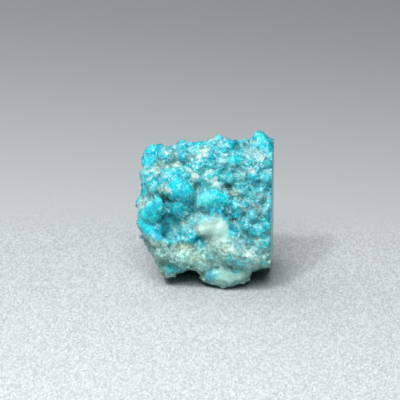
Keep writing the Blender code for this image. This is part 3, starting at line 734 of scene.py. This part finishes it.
def dress_stone(settings):
    """The finished stone: its mesh, and what the materials read from it."""
    solid = merged_stone()
    skin = BVHTree.FromBMesh(solid)
    add_smooth_lumps(solid, skin)
    for _, *line in ROLLS.values():
        add_roll(solid, skin, line)
    bm = bmesh.new()
    bm.from_mesh(wrapped(solid, WRAP_VOXEL, WRAP_SMOOTH))
    beads = add_beads_and_grains(bm, skin, settings)
    mesh = wrapped(bm, settings.skin_voxel, settings.skin_smooth)
    places, ways, _ = vertex_arrays(mesh)
    paint = Paint(places, skin)
    sawn = flattened(places, ways)
    places += ways * (relief(places, paint.crust, paint.smooth, settings) * ~sawn)[:, None]
    flattened(places, ways)
    put_back(mesh, places)
    mesh = thinned(mesh, MOST_TRIANGLES)
    places, ways, _ = vertex_arrays(mesh)
    flattened(places, ways)
    put_back(mesh, places)
    places, ways, edges = vertex_arrays(mesh)
    paint = Paint(places, skin)
    keep_attribute(mesh, "hollow", hollowness(places, ways, edges, *FINE_HOLLOW))
    keep_attribute(mesh, "deep_hollow", hollowness(places, ways, edges, *DEEP_HOLLOW))
    keep_attribute(mesh, "tone", bead_tones(places, beads))
    keep_attribute(mesh, "stain", np.column_stack((paint.stain, paint.cover)))
    sawn, rim = sawn_rim(mesh, places, paint.crust)
    keep_attribute(mesh, "rim", rim)
    keep_attribute(mesh, "crust", paint.crust)
    keep_attribute(mesh, "smooth", paint.smooth)
    is_sawn = [all(sawn[vertex] for vertex in face.vertices) for face in mesh.polygons]
    mesh.polygons.foreach_set("material_index", np.array(is_sawn, dtype=np.int32))
    mesh.shade_smooth()
    mesh.name = PIECE
    return mesh


def new_node(tree, kind, **settings):
    """A node of the kind with these settings."""
    node = tree.nodes.new(kind)
    for name, value in settings.items():
        setattr(node, name, value)
    return node


def feed(tree, socket, value):
    """A link into the socket, or a plain value on it."""
    if isinstance(value, bpy.types.NodeSocket):
        tree.links.new(value, socket)
    else:
        socket.default_value = value


def arithmetic(tree, operation, *values):
    """A Math node's result."""
    node = new_node(tree, "ShaderNodeMath", operation=operation)
    for socket, value in zip(node.inputs, values):
        feed(tree, socket, value)
    return node.outputs[0]


def vectors(tree, operation, first, second=None, scale=None):
    """A Vector Math node."""
    node = new_node(tree, "ShaderNodeVectorMath", operation=operation)
    feed(tree, node.inputs[0], first)
    if second is not None:
        feed(tree, node.inputs[1], second)
    if scale is not None:
        feed(tree, node.inputs["Scale"], scale)
    return node


def mixed(tree, share, first, second, blend="MIX"):
    """A colour between two, or one blended over another."""
    node = new_node(tree, "ShaderNodeMix", data_type="RGBA", blend_type=blend)
    for index, value in ((0, share), (6, first), (7, second)):
        if isinstance(value, tuple) and len(value) == 3:
            value = (*value, 1.0)
        feed(tree, node.inputs[index], value)
    return node.outputs[2]


def eased(tree, value, low, high, to_low=0.0, to_high=1.0):
    """A value taken smoothly from one range to another."""
    node = new_node(tree, "ShaderNodeMapRange", interpolation_type="SMOOTHSTEP")
    for socket, given in zip(node.inputs, (value, low, high, to_low, to_high)):
        feed(tree, socket, given)
    return node.outputs[0]


def times(tree, first, second, plus=None):
    """Two values multiplied, and a third added."""
    if plus is None:
        return arithmetic(tree, "MULTIPLY", first, second)
    return arithmetic(tree, "MULTIPLY_ADD", first, second, plus)


def effect(tree, value, name, within=None):
    """The share of one of the finish's effects, among them painted glint specks and painted shade, where it
    has this value, within a mask.
    """
    begins, full, share = EFFECTS[name]
    share = eased(tree, value, begins, full, 0.0, share)
    return share if within is None else times(tree, share, within)


def ramp(tree, value, stops):
    """A colour read from a ramp, from the colour or the stain at each place of it."""
    node = new_node(tree, "ShaderNodeValToRGB")
    elements = node.color_ramp.elements
    while len(elements) < len(stops):
        elements.new(0.5)
    for element, (place, colour) in zip(elements, stops.items()):
        element.position = place
        element.color = (*COLOURS.get(colour, colour), 1.0)
    feed(tree, node.inputs[0], value)
    return node.outputs["Color"]


def attribute(tree, name, output="Fac"):
    """An attribute of the mesh."""
    node = new_node(tree, "ShaderNodeAttribute", attribute_name=name, attribute_type="GEOMETRY")
    return node.outputs[output]


def bump(tree, shader, height, distance):
    """A bump on the shader's surface."""
    node = new_node(tree, "ShaderNodeBump")
    node.inputs["Distance"].default_value = distance
    feed(tree, node.inputs["Height"], height)
    feed(tree, shader.inputs["Normal"], node.outputs["Normal"])


def finish(tree, shader, values):
    """The values or links on the shader's sockets."""
    for name, value in values.items():
        feed(tree, shader.inputs[name], value)


def stretched(tree, here, scale, turn=0.0):
    """The coordinates stretched, and turned about X."""
    node = new_node(tree, "ShaderNodeMapping")
    node.inputs["Rotation"].default_value = (turn, 0.0, 0.0)
    node.inputs["Scale"].default_value = scale
    feed(tree, node.inputs["Vector"], here)
    return node.outputs[0]


def new_group(name, inputs, outputs):
    """An empty shader node group with its inputs and outputs."""
    group = bpy.data.node_groups.new(name, "ShaderNodeTree")
    for socket, kind in inputs:
        group.interface.new_socket(socket, in_out="INPUT", socket_type=kind)
    for socket, kind in outputs:
        group.interface.new_socket(socket, in_out="OUTPUT", socket_type=kind)
    return group, new_node(group, "NodeGroupInput").outputs, new_node(group, "NodeGroupOutput").inputs


def grain_group():
    """Crystal grains: a random value for each grain, and its tilted facet as a height."""
    group, given, put = new_group(
        "crystal_grain",
        (("Vector", "NodeSocketVector"), ("Size mm", "NodeSocketFloat"), ("Waver mm", "NodeSocketFloat")),
        (("Value", "NodeSocketFloat"), ("Facet", "NodeSocketFloat")))
    scale = arithmetic(group, "DIVIDE", 1000.0, given["Size mm"])
    waves = new_node(group, "ShaderNodeTexNoise")
    feed(group, waves.inputs["Vector"], given["Vector"])
    feed(group, waves.inputs["Scale"], scale)
    waves.inputs["Detail"].default_value = 3.0
    swing = vectors(group, "SUBTRACT", waves.outputs["Color"], (0.5, 0.5, 0.5)).outputs[0]
    reach = arithmetic(group, "MULTIPLY", given["Waver mm"], 0.002)
    swing = vectors(group, "SCALE", swing, scale=reach).outputs[0]
    place = vectors(group, "ADD", given["Vector"], swing).outputs[0]
    cells = new_node(group, "ShaderNodeTexVoronoi")
    feed(group, cells.inputs["Vector"], place)
    feed(group, cells.inputs["Scale"], scale)
    split = new_node(group, "ShaderNodeSeparateColor")
    feed(group, split.inputs[0], cells.outputs["Color"])
    tilt = vectors(group, "SUBTRACT", cells.outputs["Color"], (0.5, 0.5, 0.5)).outputs[0]
    off = vectors(group, "SUBTRACT", place, cells.outputs["Position"]).outputs[0]
    feed(group, put["Value"], split.outputs[0])
    feed(group, put["Facet"], vectors(group, "DOT_PRODUCT", off, tilt).outputs["Value"])
    return group


def mottle_group():
    """Soft clouds of a given size, as a mask from 0 to 1."""
    group, given, put = new_group(
        "mottle",
        (("Vector", "NodeSocketVector"), ("Size mm", "NodeSocketFloat"), ("Low", "NodeSocketFloat"),
         ("High", "NodeSocketFloat")),
        (("Mask", "NodeSocketFloat"),))
    cloud_node = new_node(group, "ShaderNodeTexNoise")
    feed(group, cloud_node.inputs["Vector"], given["Vector"])
    feed(group, cloud_node.inputs["Scale"], arithmetic(group, "DIVIDE", 1000.0, given["Size mm"]))
    cloud_node.inputs["Detail"].default_value = 4.0
    cloud_node.inputs["Roughness"].default_value = 0.6
    feed(group, put["Mask"], eased(group, cloud_node.outputs["Fac"], given["Low"], given["High"]))
    return group


def placed(tree, group, **values):
    """The group in a material, with its own values."""
    node = new_node(tree, "ShaderNodeGroup", node_tree=group)
    for name, value in values.items():
        feed(tree, node.inputs[name.replace("_", " ")], value)
    return node.outputs


def clouded(tree, groups, here, name):
    """The mask of one of the clouds."""
    size, low, high = CLOUDS[name]
    return placed(tree, groups["mottle"], Vector=here, Size_mm=size, Low=low, High=high)["Mask"]


def grained(tree, groups, here, name):
    """One of the grains."""
    size, waver = GRAINS[name]
    return placed(tree, groups["crystal_grain"], Vector=here, Size_mm=size, Waver_mm=waver)


def new_material(name):
    """A material with its shader, and Object coordinates for its patterns."""
    material = bpy.data.materials.new(name)
    material.use_nodes = True
    tree = material.node_tree
    shader = tree.nodes["Principled BSDF"]
    here = new_node(tree, "ShaderNodeTexCoord").outputs["Object"]
    return material, tree, shader, here


def stone_material(groups, settings):
    """The crust and the quartz, their stains, and the fine grain of both, with painted glint specks and
    painted shade in each fold and hollow.
    """
    material, tree, shader, here = new_material("turquoise_on_quartz")
    names = ("crust", "smooth", "hollow", "deep_hollow", "tone")
    crust, smooth, hollow, deep_hollow, tone = (attribute(tree, name) for name in names)
    broad, medium, small = (clouded(tree, groups, here, name) for name in ("broad", "medium", "small"))
    grain, fine = (grained(tree, groups, here, name) for name in ("grain", "fine"))
    rough = times(tree, arithmetic(tree, "POWER", smooth, 2.0), -0.75, 1.0)

    shade = times(tree, tone, 0.3, times(tree, broad, 0.4, times(tree, medium, 0.3)))
    crust_colour, quartz_colour = ramp(tree, shade, CRUST_RAMP), ramp(tree, shade, QUARTZ_RAMP)
    crust_edge = arithmetic(tree, "ADD", crust, times(tree, small, 0.4, -0.2))
    colour = mixed(tree, effect(tree, crust_edge, "crust"), quartz_colour, crust_colour)
    cover = arithmetic(tree, "ADD", attribute(tree, "stain", "Alpha"), times(tree, small, 0.2, -0.1))
    colour = mixed(tree, effect(tree, cover, "cover"), colour, attribute(tree, "stain", "Color"))

    pale = mixed(tree, crust, COLOURS["cream"], COLOURS["haze"])
    # Where the painted glint specks gather
    painted_glint_clusters = effect(tree, medium, "painted_glint_clusters", rough)
    varied = times(tree, eased(tree, grain["Value"], 0.0, 0.8, 1.0, 0.0), rough)
    for share, over, blend in (
            (effect(tree, hollow, "gaps", rough), pale, "MIX"),
            (effect(tree, hollow, "tops", crust), ramp(tree, tone, BEAD_RAMP), "MIX"),
            (effect(tree, small, "light", rough), COLOURS["ice"], "MIX"),
            (effect(tree, small, "dark", rough), SHADE_TINT, "MULTIPLY"),
            (times(tree, varied, times(tree, crust, -0.05, 0.5)), VARIED_TINT, "MULTIPLY"),
            # Painted glint: pale and white specks mixed into the colour where the grains would sparkle
            (effect(tree, grain["Value"], "painted_glints", painted_glint_clusters), COLOURS["ice"], "MIX"),
            (effect(tree, fine["Value"], "painted_sparkle_flecks", painted_glint_clusters), COLOURS["white"], "MIX"),
            # Painted shade: the colour is darkened in each fold and hollow of the skin, where shade falls
            (effect(tree, deep_hollow, "fold_shade", crust), FOLD_SHADE_TINT, "MULTIPLY"),
            (effect(tree, hollow, "hollow_shade"), HOLLOW_SHADE_TINT, "MULTIPLY"),
            (effect(tree, deep_hollow, "deep_hollow_shade"), DEEP_HOLLOW_SHADE_TINT, "MULTIPLY")):
        colour = mixed(tree, share, colour, over, blend)

    height = times(tree, grain["Facet"], 0.8, times(tree, fine["Facet"], 1.5))
    bump(tree, shader, times(tree, height, rough), 1.0)
    finish(tree, shader, {
        "Base Color": colour,
        "Roughness": eased(tree, fine["Value"], 0.3, 0.5, 0.34, 0.17),
        "Coat Weight": times(tree, smooth, -0.2, 0.55),
        "Coat Roughness": 0.1,
        "IOR": 1.45,
        "Specular IOR Level": 0.12,
        "Subsurface Weight": settings.glow,
        "Subsurface Scale": settings.glow_depth,
        "Subsurface Radius": (0.5, 1.0, 1.0),
    })
    return material


def sawn_material(groups):
    """The sawn face: quartz with a rim of crust, and the saw's fine lines."""
    material, tree, shader, here = new_material("sawn_quartz")
    rim, crust = attribute(tree, "rim"), attribute(tree, "crust")
    broad = clouded(tree, groups, here, "sawn_broad")
    veins = clouded(tree, groups, here, "sawn_veins")
    grain = grained(tree, groups, here, "sawn")
    shade = times(tree, grain["Value"], 0.35, times(tree, broad, 0.65))
    colour = ramp(tree, shade, SAWN_RAMP)
    colour = mixed(tree, times(tree, veins, 0.7), colour, COLOURS["sky"])
    reach = times(tree, broad, 1.2, 0.35)
    inside = arithmetic(tree, "SUBTRACT", 1.0, eased(tree, arithmetic(tree, "DIVIDE", rim, reach), 0.7, 1.3))
    colour = mixed(tree, times(tree, inside, crust), colour, COLOURS["blue"])
    roughness = eased(tree, grain["Value"], 0.0, 1.0, 0.28, 0.42)
    finish(tree, shader, {"Base Color": colour, "Roughness": roughness, "IOR": 1.55})
    drawn_out = stretched(tree, here, (1.0, 0.05, 1.0), 12 * DEG)
    bump(tree, shader, clouded(tree, groups, drawn_out, "saw_lines"), 0.004 * MM)
    return material


def floor_material(groups, settings):
    """A matt floor with a fine grain, paler towards the front: its own grey, painted darker towards the back
    as painted light that falls off.
    """
    material, tree, shader, here = new_material("studio_floor")
    split = new_node(tree, "ShaderNodeSeparateXYZ")
    feed(tree, split.inputs[0], here)
    back = split.outputs["Y"]
    # Painted light: the floor's colour darkens towards the back, standing in for light that falls off
    far = eased(tree, back, settings.painted_falloff_from, settings.painted_falloff_to)
    colour = mixed(tree, far, tuple(settings.floor_front), tuple(settings.floor_back_with_painted_shade))
    drawn_out = stretched(tree, here, (1.0, 0.4, 1.0))
    grain = grained(tree, groups, drawn_out, "floor")
    spots = clouded(tree, groups, drawn_out, "floor_spots")
    speck = times(tree, spots, 0.3, times(tree, grain["Value"], 0.7))
    near = eased(tree, back, settings.grain_from, settings.grain_to, 1.0, 0.05)
    specks = ramp(tree, speck, {0.0: (0.72,) * 3, 1.0: (1.28,) * 3})
    colour = mixed(tree, near, colour, specks, "MULTIPLY")
    finish(tree, shader, {"Base Color": colour, "Roughness": eased(tree, spots, 0.0, 1.0, 0.55, 0.7)})
    bump(tree, shader, speck, 0.01 * MM)
    return material


def shader_groups():
    """The effects that the materials share, each built once."""
    makers = {"crystal_grain": grain_group, "mottle": mottle_group}
    return {name: bpy.data.node_groups.get(name) or make() for name, make in makers.items()}


class StoneSettings(bpy.types.PropertyGroup):
    """What a user would change about the stone."""

    bead_small: FloatProperty(
        name="Smallest bead", description="Radius of the crust's smallest beads", default=0.24 * MM,
        unit="LENGTH")
    bead_large: FloatProperty(
        name="Largest bead", description="Radius of the crust's largest beads", default=0.64 * MM,
        unit="LENGTH")
    bead_gap: FloatProperty(
        name="Bead spacing", description="Distance between beads, in bead radii", default=1.75)
    bead_sunk: FloatProperty(
        name="Bead depth", description="How much of a bead's radius is sunk in the stone", default=0.55)
    grain_small: FloatProperty(
        name="Smallest grain", description="Half-size of the smallest quartz grains", default=0.16 * MM,
        unit="LENGTH")
    grain_large: FloatProperty(
        name="Largest grain", description="Half-size of the largest quartz grains", default=0.55 * MM,
        unit="LENGTH")
    grain_gap: FloatProperty(
        name="Grain spacing", description="Distance between grains, in half-sizes", default=2.1)
    grain_sunk: FloatProperty(
        name="Grain depth", description="How much of a grain's half-size is sunk in the stone", default=0.8)
    knob_size: FloatProperty(
        name="Knob size", description="Size of the knobs on the crust", default=0.95 * MM, unit="LENGTH")
    knob_height: FloatProperty(
        name="Knob height", description="Height of the knobs on the crust", default=0.24 * MM,
        unit="LENGTH")
    facet_size: FloatProperty(
        name="Facet size", description="Size of the quartz's broken facets", default=1.3 * MM, unit="LENGTH")
    facet_height: FloatProperty(
        name="Facet height", description="Height of the quartz's broken facets", default=0.34 * MM,
        unit="LENGTH")
    skin_voxel: FloatProperty(
        name="Skin grain", description="Size of the finest form in the mesh", default=0.14 * MM,
        unit="LENGTH")
    skin_smooth: IntProperty(
        name="Skin smoothing", description="How often the skin is smoothed", default=1)
    glow: FloatProperty(
        name="Glow", description="How much light passes through the skin", default=0.3, subtype="FACTOR")
    glow_depth: FloatProperty(
        name="Glow depth", description="How far light passes through the skin", default=0.45 * MM,
        unit="LENGTH")


class StageSettings(bpy.types.PropertyGroup):
    """What a user would change about the floor and the light."""

    floor_half: FloatProperty(
        name="Floor", description="Half the floor's width", default=1.5, unit="LENGTH")
    floor_front: FloatVectorProperty(
        name="Floor in front", description="The floor's colour near the viewer", subtype="COLOR",
        default=srgb(180, 185, 187))
    # The floor's colour behind is partly its own grey and partly painted shade where the light falls off
    floor_back_with_painted_shade: FloatVectorProperty(
        name="Floor behind", description="The floor's colour behind the stone", subtype="COLOR",
        default=srgb(122, 126, 129))
    # Where the floor's painted fall-off of light begins and where it is darkest
    painted_falloff_from: FloatProperty(
        name="Fade from", description="Where the floor begins to darken", default=-80 * MM, unit="LENGTH")
    painted_falloff_to: FloatProperty(
        name="Fade to", description="Where the floor is darkest", default=150 * MM, unit="LENGTH")
    grain_from: FloatProperty(
        name="Grain fades from", description="Where the floor's grain begins to fade", default=8 * MM,
        unit="LENGTH")
    grain_to: FloatProperty(
        name="Grain fades to", description="Where the floor's grain has faded", default=28 * MM,
        unit="LENGTH")
    key_power: FloatProperty(
        name="Main light", description="Power of the light above and to the left", default=1.1, unit="POWER")
    fill_power: FloatProperty(
        name="Front light", description="Power of the light in front", default=2.85, unit="POWER")
    sparkle_power: FloatProperty(
        name="Sparkle light", description="Power of the small light that the grains glint in", default=0.9,
        unit="POWER")
    room: FloatProperty(
        name="Room light", description="Strength of the light from all round", default=0.06)


def add_area_light(name, power, size, place):
    """A square soft light that faces the stone."""
    light = bpy.data.lights.new(name, "AREA")
    light.energy = power
    light.size = size
    obj = bpy.data.objects.new(name, light)
    obj.location = place
    obj.rotation_euler = (LIT_POINT - Vector(place)).to_track_quat("-Z", "Y").to_euler()
    bpy.context.scene.collection.objects.link(obj)


def add_room_light(strength):
    """Even grey light from all round."""
    world = bpy.data.worlds.new("room")
    world.use_nodes = True
    background = world.node_tree.nodes["Background"]
    background.inputs["Color"].default_value = (*ROOM_COLOUR, 1.0)
    background.inputs["Strength"].default_value = strength
    bpy.context.scene.world = world


def add_camera():
    """The camera, which looks down on the front from afar."""
    across_mm, up_mm = PICTURE_MIDDLE
    middle = SIGHT_POINT + ACROSS * across_mm * MM + UP * up_mm * MM
    camera = bpy.data.cameras.new("camera")
    camera.sensor_width = SENSOR
    camera.lens = SENSOR * (CAMERA_AWAY - FRONT_NEARER) / FIELD
    camera.clip_start = 10 * MM
    camera.clip_end = 10.0
    obj = bpy.data.objects.new("camera", camera)
    obj.location = middle - AWAY * CAMERA_AWAY
    obj.rotation_euler = Matrix((ACROSS, UP, -AWAY)).transposed().to_euler()
    bpy.context.scene.collection.objects.link(obj)
    bpy.context.scene.camera = obj


class TURQUOISE_OT_add_stone(bpy.types.Operator):
    """Dress the stone with its crust, quartz and sawn face"""

    bl_idname = "rough_turquoise.add_stone"
    bl_label = "Add stone"

    def execute(self, context):
        settings = context.scene.turquoise_stone
        stone = linked_object(PIECE, dress_stone(settings))
        groups = shader_groups()
        stone.data.materials.append(stone_material(groups, settings))
        stone.data.materials.append(sawn_material(groups))
        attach(stone, "root")
        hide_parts("turquoise")
        return {"FINISHED"}


class TURQUOISE_OT_add_stage(bpy.types.Operator):
    """Add the floor, the lights and the camera"""

    bl_idname = "rough_turquoise.add_stage"
    bl_label = "Add stage"

    def execute(self, context):
        settings = context.scene.turquoise_stage
        bm = bmesh.new()
        bmesh.ops.create_grid(bm, x_segments=1, y_segments=1, size=settings.floor_half)
        mesh = bpy.data.meshes.new("studio_floor")
        bm.to_mesh(mesh)
        bm.free()
        floor = linked_object("studio_floor", mesh)
        floor.data.materials.append(floor_material(shader_groups(), settings))
        powers = (settings.key_power, settings.fill_power, settings.sparkle_power)
        for power, (name, (size, place)) in zip(powers, LIGHTS.items()):
            add_area_light(name, power, size, place)
        add_room_light(settings.room)
        add_camera()
        context.scene.view_settings.view_transform = "Standard"
        return {"FINISHED"}


class TURQUOISE_PT_sidebar(bpy.types.Panel):
    """The buttons that build the stone and its stage"""

    bl_idname = "TURQUOISE_PT_sidebar"
    bl_label = "Rough turquoise"
    bl_space_type = "VIEW_3D"
    bl_region_type = "UI"
    bl_category = "Turquoise"

    def draw(self, context):
        for settings, operator in (
                (context.scene.turquoise_stone, TURQUOISE_OT_add_stone),
                (context.scene.turquoise_stage, TURQUOISE_OT_add_stage)):
            box = self.layout.box()
            for name in settings.bl_rna.properties.keys():
                if name not in ("rna_type", "name"):
                    box.prop(settings, name)
            box.operator(operator.bl_idname)


CLASSES = (StoneSettings, StageSettings, TURQUOISE_OT_add_stone, TURQUOISE_OT_add_stage, TURQUOISE_PT_sidebar)


def register():
    for made in CLASSES:
        bpy.utils.register_class(made)
    bpy.types.Scene.turquoise_stone = PointerProperty(type=StoneSettings)
    bpy.types.Scene.turquoise_stage = PointerProperty(type=StageSettings)


def unregister():
    del bpy.types.Scene.turquoise_stage
    del bpy.types.Scene.turquoise_stone
    for made in reversed(CLASSES):
        bpy.utils.unregister_class(made)


def main():
    register()
    bpy.ops.rough_turquoise.add_stone()
    bpy.ops.rough_turquoise.add_stage()


if __name__ == "__main__":
    main()
